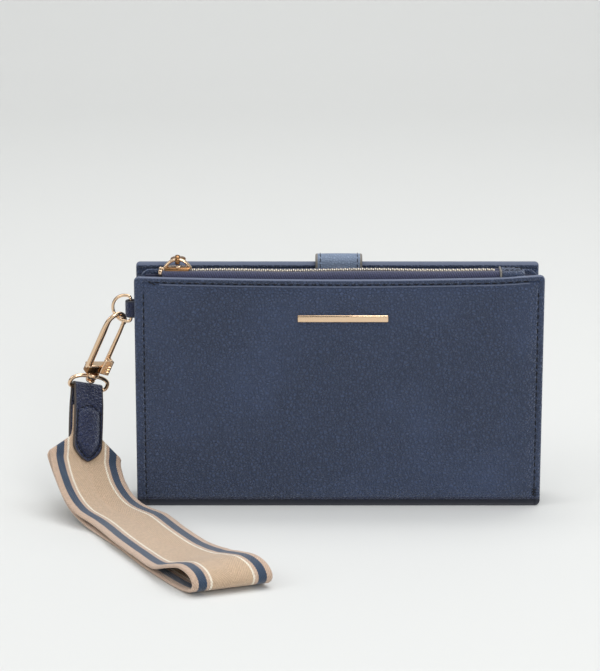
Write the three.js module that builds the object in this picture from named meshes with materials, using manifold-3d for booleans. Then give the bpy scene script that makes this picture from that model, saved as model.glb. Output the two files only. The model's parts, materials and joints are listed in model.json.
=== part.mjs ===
// Zip wristlet wallet with a card section behind it and a clip-on webbing wrist strap.
// Millimetres. X runs along the wallet, Y from its front to its back, Z up.
// The origin is the centre of the base, on the surface that the wallet stands on.
import * as THREE from 'three';
import { mergeVertices } from 'three/addons/utils/BufferGeometryUtils.js';
import Module from 'manifold-3d';

const wasm = await Module();
wasm.setup();

// ---- driving dimensions -------------------------------------------------
const WIDTH = 190;              // wallet length
const HEIGHT = 112;             // wallet height
const DEPTH = 25;               // closed thickness at the base
const PANEL = 2.0;              // padded leather board
const LINING = 0.6;             // lining cloth and pocket leather
const GAP = 0.3;                // clearance between touching pieces
const FRONT_Y = -DEPTH / 2;
const BACK_Y = DEPTH / 2;
const CORNER = 3;               // panel corner radius

const WALL_Y = 0;               // middle of the wall between zip and card sections
const WALL = 2.0;
const INNER_TOP = 105;          // top of the card section's inner layers
const CLOTH = { half: 90, low: 3.5, high: 109.8 };  // the zip compartment's linings
const GUSSET = { inset: 1.2, fold: 4, thickness: 1.2, low: 4.2, height: 105 };
const FLOOR = { half: 89, thickness: 1 };           // the zip compartment's floor
const CARDS = { half: 91, lining: 0.5, backing: 0.6, tops: [66, 78, 90], outer: 90, inner: 1 };
const SPINE = 1.6;              // bottom leather between the two sections

const CHAIN_Y = -5.5;           // middle of the zip
const CHAIN_LEFT = -82;
const CHAIN_RIGHT = 74;
const TAPE = { left: -84, right: 87, thickness: 0.7, seam: 0.15 };
const TAPE_TOP = 110.9;
const TEETH_PITCH = 2.0;
const TEETH_TOP = 113.3;
const TOOTH = { half: 0.34, rail: 2.05, reach: 0.75, overlap: 0.35 };
const START_STOP = { length: 1.6, half: 2 };
const END_COVER = { left: 75, right: 86.5, half: 4, thickness: 1.4 };
const SLIDER_X = -75;
const SLIDER_LENGTH = 12.4;
const CROWN_Z = 117.6;           // middle of the crown's top bar, which the pull turns on
const CROWN = { half: 5.4, inner: 4, bar: 0.6, width: 0.8 };
const PULL = { thickness: 1.1, eye: 2.4, hole: 1.55, stem: 1.4, round: 4.4, reach: 6.6 };

const BADGE = { width: 42, height: 4.2, depth: 0.8, z: 91.4 };

const TAB_WIDTH = 22;
const TAB = 1.3;                // snap tab leather
const TAB_ARCH = { y: 9.85, z: 112.4, inner: 2.95 };
const TAB_PIVOT_Z = 106.6;
const TAB_FOOT_Z = 82;
const TAB_TIP_Z = 104.6;
const SNAP_Z = 108.2;
const SNAP = { socket: 3.4, depth: 1.7, stud: 2.4 };

const LOOP = { y: -6, low: 90.8, high: 98.3, bar: -96.9, wall: 1.3, half: 2.7 };  // and the bar in it
const WIRE = 0.8;               // wire radius of the D-ring
const RING_TURN = -20 * Math.PI / 180;

const RING = { z: 94.4, half: 6.2, flat: 2.6, reach: 6.6 };  // D-ring about its straight bar
const HANG = 52 * Math.PI / 180;                            // where the hook hangs on the ring
const HOOK_AXIS = new THREE.Vector3(-0.386, 0.262, -0.885).normalize();
const HOOK_WIDTH = 11.2;
const HOOK_TURN = 20 * Math.PI / 180;
const HOOK_HANG = 2.1;          // from the ring's wire up to the hook's bow
const HOOK_WIRE = 1.0;
const HOOK_BLOCK = 32;          // distance from the hook's top to its block
const COLLAR = 4.4;             // length of that block
const SHANK = 1.1;              // radius of the pin that the eye turns on
const HEAD = { radius: 2.3, start: 38.4, end: 39.9 };  // the pin's head
const GATE = { top: 6.3, bar: 1.5, lever: [2.6, 1.6, 4.2] };
const EYE_BAR = 44;             // distance from the hook's top to the eye's bar
const EYE_WIDTH = 19;
const EYE_WIRE = 0.9;
const BOSS = { radius: 2.9, hole: 1.4, end: 38.1 };

const EYE_DIRECTION = new THREE.Vector3(0.875, 0.408, -0.26).normalize();
const STRAP_DOWN = new THREE.Vector3(0, -0.538, -0.843).normalize();
const CONNECTOR = { width: 15, length: 36.8, leather: 1.3, inner: 2.3, point: 7 };

const WEBBING = 1.6;            // webbing thickness
const WEBBING_HALF = 18.2;      // half the webbing's width

// The webbing's middle line where it lies free, from the connector's tip along the top layer,
// round the fold and back along the floor: x, y, z, then the angle of its width from X seen
// from above and how far that width tips down to the right, in degrees.
const STRAP_ROUTE = [
  [-116.0, -20.5, 15.0, 25, 14], [-111.5, -28.0, 9.3, 25, 9], [-105.5, -35.5, 5.8, 25, 4],
  [-96.0, -45.5, 4.2, 25, 0], [-86.0, -66.0, 4.0, 26, 0], [-75.5, -86.0, 4.0, 26, 0],
  [-66.5, -104.0, 4.6, 25, 0], [-60.0, -113.5, 8.3, 24, 0], [-54.0, -121.5, 10.8, 22, 0],
  [-49.3, -127.8, 9.6, 20, 0], [-47.1, -131.0, 6.2, 20, 0], [-47.9, -130.2, 3.1, 20, 0],
  [-50.6, -126.2, 1.6, 20, 0], [-55.0, -119.3, 1.0, 22, 0], [-62.5, -107.0, 0.9, 24, 0],
  [-72.5, -89.0, 0.9, 26, 0], [-83.0, -68.0, 0.9, 26, 0], [-92.5, -51.5, 1.0, 25, 0],
  [-101.0, -38.0, 1.6, 25, 1], [-107.5, -29.5, 3.9, 25, 5], [-112.8, -21.5, 8.0, 25, 10],
];

// ---- materials ----------------------------------------------------------
const paint = (color, roughness, metalness = 0) =>
  new THREE.MeshStandardMaterial({ color, roughness, metalness });
const leather = paint(0x37405a, 0.55);
const lining = paint(0x2b3048, 0.85);
const tapeCloth = paint(0x3a3d5c, 0.8);
const gold = paint(0xd8b48c, 0.25, 1);
const webbingCloth = paint(0xc4aa8c, 0.9);

// ---- helpers ------------------------------------------------------------
const wallet = new THREE.Group();

function add(name, geometry, material, parent = wallet) {
  const mesh = new THREE.Mesh(geometry, material);
  mesh.name = name;
  parent.add(mesh);
  return mesh;
}

function block(x0, x1, y0, y1, z0, z1) {
  const geometry = new THREE.BoxGeometry(x1 - x0, y1 - y0, z1 - z0);
  return geometry.translate((x0 + x1) / 2, (y0 + y1) / 2, (z0 + z1) / 2);
}

function roundedRectangle(x0, x1, z0, z1, radius, top = radius) {
  const shape = new THREE.Shape();
  shape.moveTo(x0 + radius, z0).lineTo(x1 - radius, z0);
  shape.absarc(x1 - radius, z0 + radius, radius, -Math.PI / 2, 0);
  shape.lineTo(x1, z1 - top);
  shape.absarc(x1 - top, z1 - top, top, 0, Math.PI / 2);
  shape.lineTo(x0 + top, z1);
  shape.absarc(x0 + top, z1 - top, top, Math.PI / 2, Math.PI);
  shape.lineTo(x0, z0 + radius);
  shape.absarc(x0 + radius, z0 + radius, radius, Math.PI, Math.PI * 1.5);
  return shape;
}

// An upright plate between y0 and y1 with the outline of a shape drawn in X and Z.
function plate(shape, y0, y1, curveSegments = 3) {
  const geometry = new THREE.ExtrudeGeometry(shape, { depth: y1 - y0, bevelEnabled: false, curveSegments });
  return geometry.rotateX(Math.PI / 2).translate(0, y1, 0);
}

// A piece with a constant section in Y and Z between x0 and x1.
function alongX(outline, x0, x1, curveSegments = 6) {
  const options = { depth: x1 - x0, bevelEnabled: false, curveSegments };
  const turn = new THREE.Matrix4().set(0, 0, 1, x0, 1, 0, 0, 0, 0, 1, 0, 0, 0, 0, 0, 1);
  return new THREE.ExtrudeGeometry(outline, options).applyMatrix4(turn);
}

function polygon(points) {
  return new THREE.Shape(points.map(([u, v]) => new THREE.Vector2(u, v)));
}

function disc(radius, y0, y1, x, z, sides = 20) {
  return new THREE.CylinderGeometry(radius, radius, y1 - y0, sides).translate(x, (y0 + y1) / 2, z);
}

function wire(points, radius, steps, sides = 8) {
  const section = new THREE.Shape();
  section.absarc(0, 0, radius, 0, Math.PI * 2);
  const path = new THREE.CatmullRomCurve3(points);
  const options = { steps, bevelEnabled: false, curveSegments: sides / 2, extrudePath: path };
  return new THREE.ExtrudeGeometry(section, options);
}

function toManifold(geometry) {
  const bare = geometry.clone();
  bare.deleteAttribute('normal');
  bare.deleteAttribute('uv');
  const merged = mergeVertices(bare, 1e-4);
  const vertProperties = new Float32Array(merged.attributes.position.array);
  const triVerts = new Uint32Array(merged.index.array);
  return new wasm.Manifold(new wasm.Mesh({ numProp: 3, vertProperties, triVerts }));
}

function fromManifold(solid) {
  const mesh = solid.getMesh();
  const geometry = new THREE.BufferGeometry();
  geometry.setAttribute('position', new THREE.BufferAttribute(new Float32Array(mesh.vertProperties), 3));
  geometry.setIndex(new THREE.BufferAttribute(new Uint32Array(mesh.triVerts), 1));
  return geometry;
}

function join(...geometries) {
  return fromManifold(geometries.map(toManifold).reduce((whole, next) => whole.add(next)));
}

function cut(geometry, ...tools) {
  const solids = tools.map(toManifold);
  return fromManifold(solids.reduce((whole, next) => whole.subtract(next), toManifold(geometry)));
}

// A strip through sections, each a ring of the same number of corners, closed at both ends.
function loft(rings) {
  const corners = rings[0].length;
  const positions = rings.flat().flatMap((p) => [p.x, p.y, p.z]);
  const index = [];
  for (let r = 0; r < rings.length - 1; r++) {
    for (let i = 0; i < corners; i++) {
      const a = r * corners + i;
      const b = r * corners + (i + 1) % corners;
      index.push(a, b, b + corners, a, b + corners, a + corners);
    }
  }
  const last = (rings.length - 1) * corners;
  for (let i = 1; i < corners - 1; i++) {
    index.push(0, i + 1, i);
    index.push(last, last + i, last + i + 1);
  }
  const geometry = new THREE.BufferGeometry();
  geometry.setAttribute('position', new THREE.Float32BufferAttribute(positions, 3));
  geometry.setIndex(index);
  return geometry;
}

// ---- zip compartment ----------------------------------------------------
function frontPanel() {
  const outline = roundedRectangle(-WIDTH / 2, WIDTH / 2, 0, HEIGHT, CORNER, 2);
  add('front_panel', plate(outline, FRONT_Y, FRONT_Y + PANEL), leather);
  const bar = roundedRectangle(-BADGE.width / 2, BADGE.width / 2, BADGE.z - BADGE.height / 2,
    BADGE.z + BADGE.height / 2, 1);
  add('badge_bar', plate(bar, FRONT_Y - GAP - BADGE.depth, FRONT_Y - GAP), gold);
  const back = FRONT_Y + PANEL + GAP;
  add('front_lining',
    block(-CLOTH.half, CLOTH.half, back, back + LINING, CLOTH.low, CLOTH.high), lining);
}

function innerWall() {
  const outline = roundedRectangle(-WIDTH / 2 + 1, WIDTH / 2 - 1, SPINE + GAP, HEIGHT, 1.5, 2);
  add('inner_wall', plate(outline, WALL_Y - WALL / 2, WALL_Y + WALL / 2), leather);
  const front = WALL_Y - WALL / 2 - GAP;
  add('inner_lining',
    block(-CLOTH.half, CLOTH.half, front - LINING, front, CLOTH.low, CLOTH.high), lining);
}

// A pleated side wall, folded inwards in a V so that the compartment can spread.
function gusset(name, side) {
  const y0 = FRONT_Y + PANEL + GAP;
  const y1 = WALL_Y - WALL / 2 - GAP;
  const middle = (y0 + y1) / 2;
  const outer = side * (WIDTH / 2 - GUSSET.inset);
  const inner = side * (WIDTH / 2 - GUSSET.fold);
  const wall = side * GUSSET.thickness;
  const shape = polygon([[outer, y0], [inner, middle], [outer, y1], [outer - wall, y1],
    [inner - wall, middle], [outer - wall, y0]]);
  const geometry = new THREE.ExtrudeGeometry(shape, { depth: GUSSET.height, bevelEnabled: false });
  add(name, geometry.translate(0, 0, GUSSET.low), leather);
}

function base() {
  const front = FRONT_Y + PANEL + GAP;
  const half = WIDTH / 2 - 3;
  add('spine_panel', block(-half, half, front, BACK_Y - PANEL - GAP, 0, SPINE), leather);
  const wallFront = WALL_Y - WALL / 2 - GAP;
  const low = SPINE + GAP;
  const floor = block(-FLOOR.half, FLOOR.half, front, wallFront, low, low + FLOOR.thickness);
  add('pocket_floor', floor, lining);
}

// ---- zip ----------------------------------------------------------------
// One row of teeth: a rail with a tooth standing out every pitch towards the other row.
function teethRow(name, direction, shift) {
  const { half, rail, reach, overlap } = TOOTH;
  const tip = overlap - reach;
  const points = [[CHAIN_LEFT, rail], [CHAIN_LEFT, reach]];
  for (let x = CHAIN_LEFT + 0.8 + shift; x < CHAIN_RIGHT - 0.6; x += TEETH_PITCH) {
    points.push([x - half, reach], [x - half, tip], [x + half, tip], [x + half, reach]);
  }
  points.push([CHAIN_RIGHT, reach], [CHAIN_RIGHT, rail]);
  const shape = polygon(points.map(([x, v]) => [x, CHAIN_Y + direction * v]));
  const z0 = TAPE_TOP + GAP;
  const geometry = new THREE.ExtrudeGeometry(shape, { depth: TEETH_TOP - z0, bevelEnabled: false });
  add(name, geometry.translate(0, 0, z0), gold);
}

function zip() {
  const tape = (y0, y1) => block(TAPE.left, TAPE.right, y0, y1, TAPE_TOP - TAPE.thickness, TAPE_TOP);
  add('zip_tape_front', tape(FRONT_Y + PANEL + GAP, CHAIN_Y - TAPE.seam), tapeCloth);
  add('zip_tape_rear', tape(CHAIN_Y + TAPE.seam, WALL_Y - WALL / 2 - GAP), tapeCloth);
  teethRow('zip_teeth_front', -1, 0);
  teethRow('zip_teeth_rear', 1, TEETH_PITCH / 2);
  const low = TAPE_TOP + GAP;
  const stop = block(TAPE.left, TAPE.left + START_STOP.length,
    CHAIN_Y - START_STOP.half, CHAIN_Y + START_STOP.half, low, TEETH_TOP);
  add('zip_start_stop', stop, gold);
  const cover = roundedRectangle(END_COVER.left, END_COVER.right,
    CHAIN_Y - END_COVER.half, CHAIN_Y + END_COVER.half, 0.8);
  const options = { depth: END_COVER.thickness, bevelEnabled: false, curveSegments: 3 };
  add('zip_end_cover', new THREE.ExtrudeGeometry(cover, options).translate(0, 0, low), leather);
}

// The slider's body is a channel over the teeth with a crown for the pull.
function slider() {
  const half = TOOTH.rail + GAP;
  const out = half + 0.8;
  const roof = TEETH_TOP + GAP;
  const low = TAPE_TOP + GAP;
  const channel = polygon([[CHAIN_Y - out, low], [CHAIN_Y - half, low], [CHAIN_Y - half, roof],
    [CHAIN_Y + half, roof], [CHAIN_Y + half, low], [CHAIN_Y + out, low], [CHAIN_Y + out, roof + 0.5],
    [CHAIN_Y + out - 0.6, roof + 1.0], [CHAIN_Y - out + 0.6, roof + 1.0], [CHAIN_Y - out, roof + 0.5]]);
  const x0 = SLIDER_X - SLIDER_LENGTH / 2;
  const body = alongX(channel, x0, x0 + SLIDER_LENGTH);
  const crown = new THREE.Shape();
  const foot = roof + 0.6;
  const arch = (half, top) => {
    crown.quadraticCurveTo(SLIDER_X - half * 0.95, top, SLIDER_X, top);
    crown.quadraticCurveTo(SLIDER_X + half * 0.95, top, SLIDER_X + half, foot);
  };
  crown.moveTo(SLIDER_X - CROWN.half, foot);
  arch(CROWN.half, CROWN_Z + CROWN.bar);
  crown.lineTo(SLIDER_X + CROWN.inner, foot);
  const under = CROWN_Z - CROWN.bar;
  crown.quadraticCurveTo(SLIDER_X + CROWN.inner * 0.95, under, SLIDER_X, under);
  crown.quadraticCurveTo(SLIDER_X - CROWN.inner * 0.95, under, SLIDER_X - CROWN.inner, foot);
  const arched = plate(crown, CHAIN_Y - CROWN.width, CHAIN_Y + CROWN.width, 6);
  add('slider_body', join(body, arched), gold);
}

// The pull's eye goes round the crown's top bar, and the pull lies back over the card section.
function pull() {
  const eye = new THREE.Shape();
  eye.absarc(CHAIN_Y, CROWN_Z, PULL.eye, 0, Math.PI * 2);
  const hole = new THREE.Path();
  hole.absarc(CHAIN_Y, CROWN_Z, PULL.hole, 0, Math.PI * 2, true);
  eye.holes.push(hole);
  const x0 = SLIDER_X - PULL.stem;
  const x1 = SLIDER_X + PULL.stem;
  const ring = alongX(eye, x0, x1, 8);
  const z0 = CROWN_Z - 0.5;
  const stem = block(x0, x1, CHAIN_Y + 1.7, CHAIN_Y + 5, z0, z0 + PULL.thickness);
  const blade = new THREE.Shape();
  blade.moveTo(SLIDER_X - 2.2, CHAIN_Y + 2.8).lineTo(SLIDER_X + 2.2, CHAIN_Y + 2.8);
  blade.lineTo(SLIDER_X + 4.2, CHAIN_Y + 5.4);
  blade.absarc(SLIDER_X, CHAIN_Y + PULL.reach, PULL.round, -0.28, Math.PI + 0.28);
  const options = { depth: PULL.thickness, bevelEnabled: false, curveSegments: 8 };
  const flat = new THREE.ExtrudeGeometry(blade, options).translate(0, 0, z0);
  add('pull_tab', join(ring, stem, flat), gold);
}

// ---- card section -------------------------------------------------------
function cardSection() {
  const outline = roundedRectangle(-WIDTH / 2 + 1.5, WIDTH / 2 - 1.5, 0, HEIGHT, CORNER, 2);
  add('rear_panel', plate(outline, BACK_Y - PANEL, BACK_Y), leather);
  const low = SPINE + GAP;
  const liningY = BACK_Y - PANEL - GAP;
  const { half, outer, inner } = CARDS;
  const lined = block(-half, half, liningY - CARDS.lining, liningY, low, INNER_TOP);
  add('bill_lining', lined, lining);
  const backY = liningY - CARDS.lining - GAP;
  const backing = block(-half, half, backY - CARDS.backing, backY, low, INNER_TOP - 3);
  add('card_backing', backing, leather);
  for (const [side, x0, x1] of [['left', -outer, -inner], ['right', inner, outer]]) {
    CARDS.tops.forEach((top, i) => {
      const y1 = backY - CARDS.backing - GAP - (2 - i) * (LINING + GAP);
      const pocket = roundedRectangle(x0, x1, low, top, 1);
      add(`card_pocket_${side}_${3 - i}`, plate(pocket, y1 - LINING, y1), leather);
    });
  }
}

// ---- snap tab -----------------------------------------------------------
function snapTab() {
  const x0 = -TAB_WIDTH / 2;
  const outer = TAB_ARCH.inner + TAB;
  const rearIn = TAB_ARCH.y + TAB_ARCH.inner;
  const rearOut = TAB_ARCH.y + outer;
  const root = roundedRectangle(x0, -x0, TAB_FOOT_Z, TAB_PIVOT_Z - GAP, 6, 0.2);
  add('tab_root', plate(root, rearIn, rearOut, 5), leather);
  const strip = new THREE.Shape();
  strip.moveTo(rearOut, TAB_PIVOT_Z).lineTo(rearOut, TAB_ARCH.z);
  strip.absarc(TAB_ARCH.y, TAB_ARCH.z, outer, 0, Math.PI);
  strip.lineTo(TAB_ARCH.y - outer, TAB_TIP_Z).lineTo(TAB_ARCH.y - TAB_ARCH.inner, TAB_TIP_Z);
  strip.lineTo(TAB_ARCH.y - TAB_ARCH.inner, TAB_ARCH.z);
  strip.absarc(TAB_ARCH.y, TAB_ARCH.z, TAB_ARCH.inner, Math.PI, 0, true);
  strip.lineTo(rearIn, TAB_PIVOT_Z);
  add('tab_strip', alongX(strip, x0, -x0, 7), leather);
  const front = TAB_ARCH.y - outer - GAP;
  add('snap_socket', disc(SNAP.socket, front - SNAP.depth, front, 0, SNAP_Z), gold);
  const wallBack = WALL_Y + WALL / 2 + GAP;
  add('snap_stud', disc(SNAP.stud, wallBack, front - SNAP.depth - GAP, 0, SNAP_Z), gold);
}

// ---- side loop and D-ring -----------------------------------------------
function ringLoop() {
  const { wall, half } = LOOP;
  const x1 = -WIDTH / 2 - GAP;
  const shape = new THREE.Shape();
  shape.moveTo(x1, LOOP.y - half).lineTo(x1, LOOP.y + half).lineTo(LOOP.bar, LOOP.y + half);
  shape.absarc(LOOP.bar, LOOP.y, half, Math.PI / 2, Math.PI * 1.5);
  const hole = new THREE.Path();
  hole.absarc(LOOP.bar, LOOP.y, half - wall, 0, Math.PI * 2, true);
  shape.holes.push(hole);
  const options = { depth: LOOP.high - LOOP.low, bevelEnabled: false, curveSegments: 6 };
  add('ring_loop', new THREE.ExtrudeGeometry(shape, options).translate(0, 0, LOOP.low), leather);
}

function ringPoint(out, up) {
  const x = LOOP.bar - out * Math.cos(RING_TURN);
  return new THREE.Vector3(x, LOOP.y - out * Math.sin(RING_TURN), RING.z + up);
}

// The D-ring's straight side runs down through the loop. The ring is split there.
function dRing() {
  const { half, flat, reach } = RING;
  const points = [ringPoint(0, 0.25), ringPoint(0, 2), ringPoint(0, 4.6), ringPoint(0.8, 5.9)];
  for (let i = 0; i <= 10; i++) {
    const angle = Math.PI / 2 - i * Math.PI / 10;
    points.push(ringPoint(flat + reach * Math.cos(angle), half * Math.sin(angle)));
  }
  points.push(ringPoint(0.8, -5.9), ringPoint(0, -4.6), ringPoint(0, -2), ringPoint(0, -0.25));
  add('d_ring', wire(points, WIRE, 46), gold);
}

// ---- swivel hook --------------------------------------------------------
const HOOK_TOP = ringPoint(RING.flat + RING.reach * Math.cos(HANG), -RING.half * Math.sin(HANG))
  .addScaledVector(HOOK_AXIS, -HOOK_HANG);
const LEVEL = new THREE.Vector3().crossVectors(HOOK_AXIS, new THREE.Vector3(0, 0, 1)).normalize();
const HOOK_SIDE = LEVEL.applyAxisAngle(HOOK_AXIS, HOOK_TURN);

// A group whose x is across, z runs down the hook's axis and whose origin is so far down it.
function onHookAxis(across, down) {
  const group = new THREE.Group();
  const back = new THREE.Vector3().crossVectors(HOOK_AXIS, across).normalize();
  const side = new THREE.Vector3().crossVectors(back, HOOK_AXIS);
  const origin = HOOK_TOP.clone().addScaledVector(HOOK_AXIS, down);
  group.applyMatrix4(new THREE.Matrix4().makeBasis(side, back, HOOK_AXIS).setPosition(origin));
  wallet.add(group);
  return group;
}

function post(radius, z0, z1, sides = 14) {
  const geometry = new THREE.CylinderGeometry(radius, radius, z1 - z0, sides);
  return geometry.rotateX(Math.PI / 2).translate(0, 0, (z0 + z1) / 2);
}

const inPlane = (x, z) => new THREE.Vector3(x, 0, z);

function hook() {
  const group = onHookAxis(HOOK_SIDE, 0);
  const half = HOOK_WIDTH / 2 - HOOK_WIRE;
  const bow = [[-half, HOOK_BLOCK - 1], [-half, 24], [-half, 14], [-half, 6], [-half * 0.86, 2.9],
    [-half * 0.45, 0.7], [0, 0], [half * 0.45, 0.7], [half * 0.86, 2.9], [half, 5.6]];
  const spine = wire(bow.map(([x, z]) => inPlane(x, z)), HOOK_WIRE, 30);
  const collar = new THREE.BoxGeometry(HOOK_WIDTH, 3.6, COLLAR).translate(0, 0, HOOK_BLOCK);
  const shank = post(SHANK, HOOK_BLOCK + COLLAR / 2 - 1, HEAD.start + 0.4);
  const head = post(HEAD.radius, HEAD.start, HEAD.end);
  add('hook_body', join(spine, collar, shank, head), gold, group);
  const gateEnd = HOOK_BLOCK - COLLAR / 2 - GAP;
  const bar = new THREE.BoxGeometry(GATE.bar, GATE.bar, gateEnd - GATE.top);
  bar.translate(half, 0, (gateEnd + GATE.top) / 2);
  const lever = new THREE.BoxGeometry(...GATE.lever).translate(half + 1.2, 0, gateEnd - 5);
  add('hook_gate', join(bar, lever), gold, group);
}

// The swivel eye turns about the hook's shank: a boss with a D-shaped loop for the leather.
function swivelEye() {
  const group = onHookAxis(EYE_DIRECTION, EYE_BAR);
  const half = EYE_WIDTH / 2;
  const right = [[0.3, 0], [3.5, 0], [7, 0], [half - 0.8, -0.4], [half, -2], [half - 0.7, -4.8],
    [5.6, -6.6], [2.6, -7.0]];
  const left = right.map(([x, z]) => [-x, z]).reverse();
  const loop = [...right, [0, -7.1], ...left].map(([x, z]) => inPlane(x, z));
  const bossTop = HOOK_BLOCK + COLLAR / 2 + GAP - EYE_BAR;
  const whole = join(wire(loop, EYE_WIRE, 48), post(BOSS.radius, bossTop, BOSS.end - EYE_BAR));
  add('swivel_eye', cut(whole, post(BOSS.hole, bossTop - 1, -4)), gold, group);
}

// ---- leather connector and webbing --------------------------------------
const STRAP_ACROSS = EYE_DIRECTION;
const STRAP_FRONT = new THREE.Vector3().crossVectors(STRAP_DOWN, STRAP_ACROSS).normalize();

// The connector's leather strip folds over the bar and closes on the webbing.
function connector(bar) {
  const { width, length, leather: t, inner, point } = CONNECTOR;
  const group = new THREE.Group();
  const basis = new THREE.Matrix4().makeBasis(STRAP_FRONT, STRAP_DOWN, STRAP_ACROSS);
  group.applyMatrix4(basis.setPosition(bar));
  wallet.add(group);
  const shape = new THREE.Shape();
  shape.moveTo(inner, length).lineTo(inner, 0);
  shape.absarc(0, 0, inner, 0, Math.PI, true);
  shape.lineTo(-inner, length).lineTo(-inner - t, length).lineTo(-inner - t, 0);
  shape.absarc(0, 0, inner + t, Math.PI, 0);
  shape.lineTo(inner + t, length);
  const options = { depth: width, bevelEnabled: false, curveSegments: 7 };
  const strip = new THREE.ExtrudeGeometry(shape, options).translate(0, 0, -width / 2);
  const corner = (side) => {
    const outline = polygon([[0, length + 1], [side * 9, length + 1], [side * 9, length - point]]);
    const tool = new THREE.ExtrudeGeometry(outline, { depth: 12, bevelEnabled: false });
    return tool.rotateY(-Math.PI / 2).translate(6, 0, 0);
  };
  add('connector_leather', cut(strip, corner(1), corner(-1)), leather, group);
}

function webbingSections(bar) {
  const inside = (along, offset, half) => ({
    at: bar.clone().addScaledVector(STRAP_DOWN, along).addScaledVector(STRAP_FRONT, offset),
    across: STRAP_ACROSS.clone(), half });
  const layer = WEBBING / 2 + 0.35;
  const start = [inside(9, layer, 6.4), inside(20, layer, 6.4), inside(25, layer, 7.2)];
  const spread = [inside(32, layer, 16.5), inside(37, layer, WEBBING_HALF)];
  const free = STRAP_ROUTE.map(([x, y, z, plan, tip]) => {
    const a = plan * Math.PI / 180;
    const t = -tip * Math.PI / 180;
    const across = new THREE.Vector3(Math.cos(a) * Math.cos(t), Math.sin(a) * Math.cos(t), Math.sin(t));
    return { at: new THREE.Vector3(x, y, z), across, half: WEBBING_HALF };
  });
  const end = [inside(37, -layer, WEBBING_HALF), inside(32, -layer, 16.5), inside(25, -layer, 7.2),
    inside(20, -layer, 6.4), inside(9, -layer, 6.4)];
  return [...start, ...spread, ...free, ...end];
}

function webbing(bar) {
  const sections = webbingSections(bar);
  const line = new THREE.CatmullRomCurve3(sections.map((s) => s.at));
  const count = 2 * (sections.length - 1);
  const rings = [];
  for (let i = 0; i <= count; i++) {
    const k = i / 2;
    const a = sections[Math.floor(k)];
    const b = sections[Math.ceil(k)];
    const u = i / count;
    const along = line.getTangent(u);
    const across = a.across.clone().add(b.across).normalize();
    const normal = new THREE.Vector3().crossVectors(along, across).normalize();
    const half = (a.half + b.half) / 2;
    const at = line.getPoint(u);
    const corner = (side, face) => at.clone().addScaledVector(across, side * half)
      .addScaledVector(normal, face * WEBBING / 2);
    rings.push([corner(-1, -1), corner(1, -1), corner(1, 1), corner(-1, 1)]);
  }
  add('strap_webbing', loft(rings), webbingCloth);
}

// ---- assembly -----------------------------------------------------------
frontPanel();
innerWall();
gusset('gusset_left', -1);
gusset('gusset_right', 1);
base();
zip();
slider();
pull();
cardSection();
snapTab();
ringLoop();
dRing();
hook();
swivelEye();
const eyeBar = HOOK_TOP.clone().addScaledVector(HOOK_AXIS, EYE_BAR);
connector(eyeBar);
webbing(eyeBar);

export default wallet;
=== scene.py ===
"""Wristlet wallet: leather, zip, hardware and webbing built round the CAD frame."""
import json
import random
from math import cos, exp, hypot, pi, radians, sin, sqrt

import bmesh
import bpy
from mathutils import Matrix, Vector


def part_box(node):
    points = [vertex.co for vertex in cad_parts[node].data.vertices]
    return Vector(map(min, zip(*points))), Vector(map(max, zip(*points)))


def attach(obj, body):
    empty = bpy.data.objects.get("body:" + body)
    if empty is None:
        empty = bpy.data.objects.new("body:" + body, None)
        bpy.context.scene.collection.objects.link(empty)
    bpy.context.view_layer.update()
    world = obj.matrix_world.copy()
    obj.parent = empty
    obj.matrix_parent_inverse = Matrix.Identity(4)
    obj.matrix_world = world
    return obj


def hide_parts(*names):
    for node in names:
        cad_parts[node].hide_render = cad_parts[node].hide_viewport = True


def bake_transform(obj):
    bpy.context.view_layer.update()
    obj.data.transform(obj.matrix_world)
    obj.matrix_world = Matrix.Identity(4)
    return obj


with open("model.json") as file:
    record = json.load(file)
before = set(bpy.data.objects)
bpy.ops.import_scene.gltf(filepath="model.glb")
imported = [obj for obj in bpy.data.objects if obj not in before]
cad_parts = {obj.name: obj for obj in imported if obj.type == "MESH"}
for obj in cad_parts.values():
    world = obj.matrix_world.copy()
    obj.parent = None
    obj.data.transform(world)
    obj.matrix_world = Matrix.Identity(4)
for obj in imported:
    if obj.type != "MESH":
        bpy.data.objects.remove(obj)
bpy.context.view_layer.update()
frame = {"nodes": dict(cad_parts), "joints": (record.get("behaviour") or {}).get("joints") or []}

MM = 0.001
X, Y, Z = Vector((1, 0, 0)), Vector((0, 1, 0)), Vector((0, 0, 1))
FRONT, CARD = "front_section", "card_section"  # the bodies of the wallet's two halves
JOINTS = {j["name"]: j for j in frame["joints"]}
rng = random.Random(7)


def joint_at(name):
    return Vector(JOINTS[name]["pos_m"]) / MM


def joint_axis(name):
    return Vector(JOINTS[name]["axis"]).normalized()


# ---- camera, floor and light ----
LENS, PITCH, EYE = 139.98, 75.5, (-0.0182, -1.18514, 0.38643)
PAPER = (0.69, 0.695, 0.682, 1)
SWEEP_START, SWEEP_RADIUS, SWEEP_STEPS = 1.1, 0.5, 8  # where the floor curves up into a wall
SKY = [(0, 0.10), (0.25, 0.22), (0.6, 0.75), (1, 0.95)]  # height of the direction, brightness
LIGHTS = {  # place, aim, size, power
    "key": ((0.25, 0.02, 1.25), (0, -0.02, 0.03), (1.3, 1), 7.5),
    "front": ((0.4, -1.6, 0.7), (0, 0, 0.06), (0.5, 0.5), 8),
    "side": ((-1.3, -0.5, 0.8), (-0.05, 0, 0.06), (0.4, 0.8), 3),
    "backdrop": ((0, 0.5, 2.2), (0, 1.6, 0.7), (2, 0.5), 10),
}


def add_object(name, data):
    obj = bpy.data.objects.new(name, data)
    bpy.context.collection.objects.link(obj)
    return obj


def fill_ramp(ramp, stops):
    elements = ramp.color_ramp.elements
    while len(elements) < len(stops):
        elements.new(0.5)
    for element, (where, colour) in zip(elements, stops):
        element.position = where
        element.color = colour


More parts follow.
